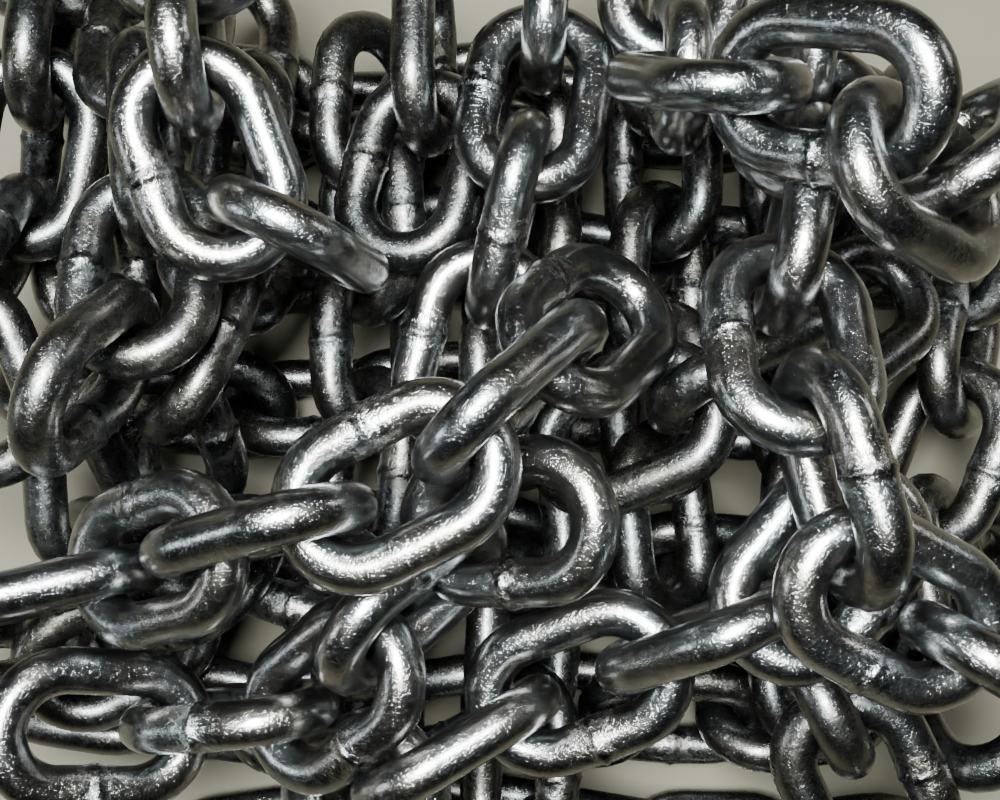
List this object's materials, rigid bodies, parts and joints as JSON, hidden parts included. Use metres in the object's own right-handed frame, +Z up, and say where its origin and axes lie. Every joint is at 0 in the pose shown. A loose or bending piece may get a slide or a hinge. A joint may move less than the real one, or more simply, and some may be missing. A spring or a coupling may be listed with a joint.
{
  "type": "heap of chain",
  "caption": "Low heap of short-link welded steel chain, several lengths laid over one another on a level floor.",
  "frame": {"origin": "middle of the heap's plan, on the floor it lies on", "axes": "+Z up; +X to the right and -Y toward the viewer of the picture"},
  "size_m": [0.2708, 0.247, 0.141],
  "materials": {
    "chain_steel": "bare dark steel, satin, lightly oiled, grainy and scuffed",
    "buried_steel": "the same steel, duller and darker under the heap"
  },
  "bodies": {
    "root": {"link_a1": "chain_steel", "link_a2": "chain_steel", "link_a3": "chain_steel", "link_a4": "chain_steel", "link_a5": "chain_steel", "link_a6": "chain_steel", "link_b1": "chain_steel", "link_b2": "chain_steel", "link_b3": "chain_steel", "link_b4": "chain_steel", "link_c1": "chain_steel", "link_c2": "chain_steel", "link_c3": "chain_steel", "link_c4": "chain_steel", "link_d1": "chain_steel", "link_d2": "chain_steel", "link_d3": "chain_steel", "link_d4": "chain_steel", "link_d5": "chain_steel", "link_d6": "chain_steel", "link_d7": "chain_steel", "link_e1": "chain_steel", "link_e2": "chain_steel", "link_e3": "chain_steel", "link_e4": "chain_steel", "link_e5": "chain_steel", "link_f1": "chain_steel", "link_f2": "chain_steel", "link_f3": "chain_steel", "link_f4": "chain_steel", "link_f5": "chain_steel", "link_k1": "chain_steel", "link_k2": "chain_steel", "link_k3": "chain_steel", "link_k4": "chain_steel", "link_k5": "chain_steel", "link_k6": "chain_steel", "run_floor_a": "buried_steel", "run_floor_b": "buried_steel", "run_floor_c": "buried_steel", "run_floor_d": "buried_steel", "run_floor_e": "buried_steel", "run_floor_z": "buried_steel", "run_g": "buried_steel", "run_h": "buried_steel", "run_i": "buried_steel", "run_j": "buried_steel", "run_l": "buried_steel", "run_m": "buried_steel", "run_mid_a": "buried_steel", "run_mid_b": "buried_steel", "run_mid_c": "buried_steel", "run_mid_d": "buried_steel", "run_mid_q": "buried_steel", "run_mid_r": "buried_steel", "run_p": "buried_steel"}
  },
  "joints": []
}
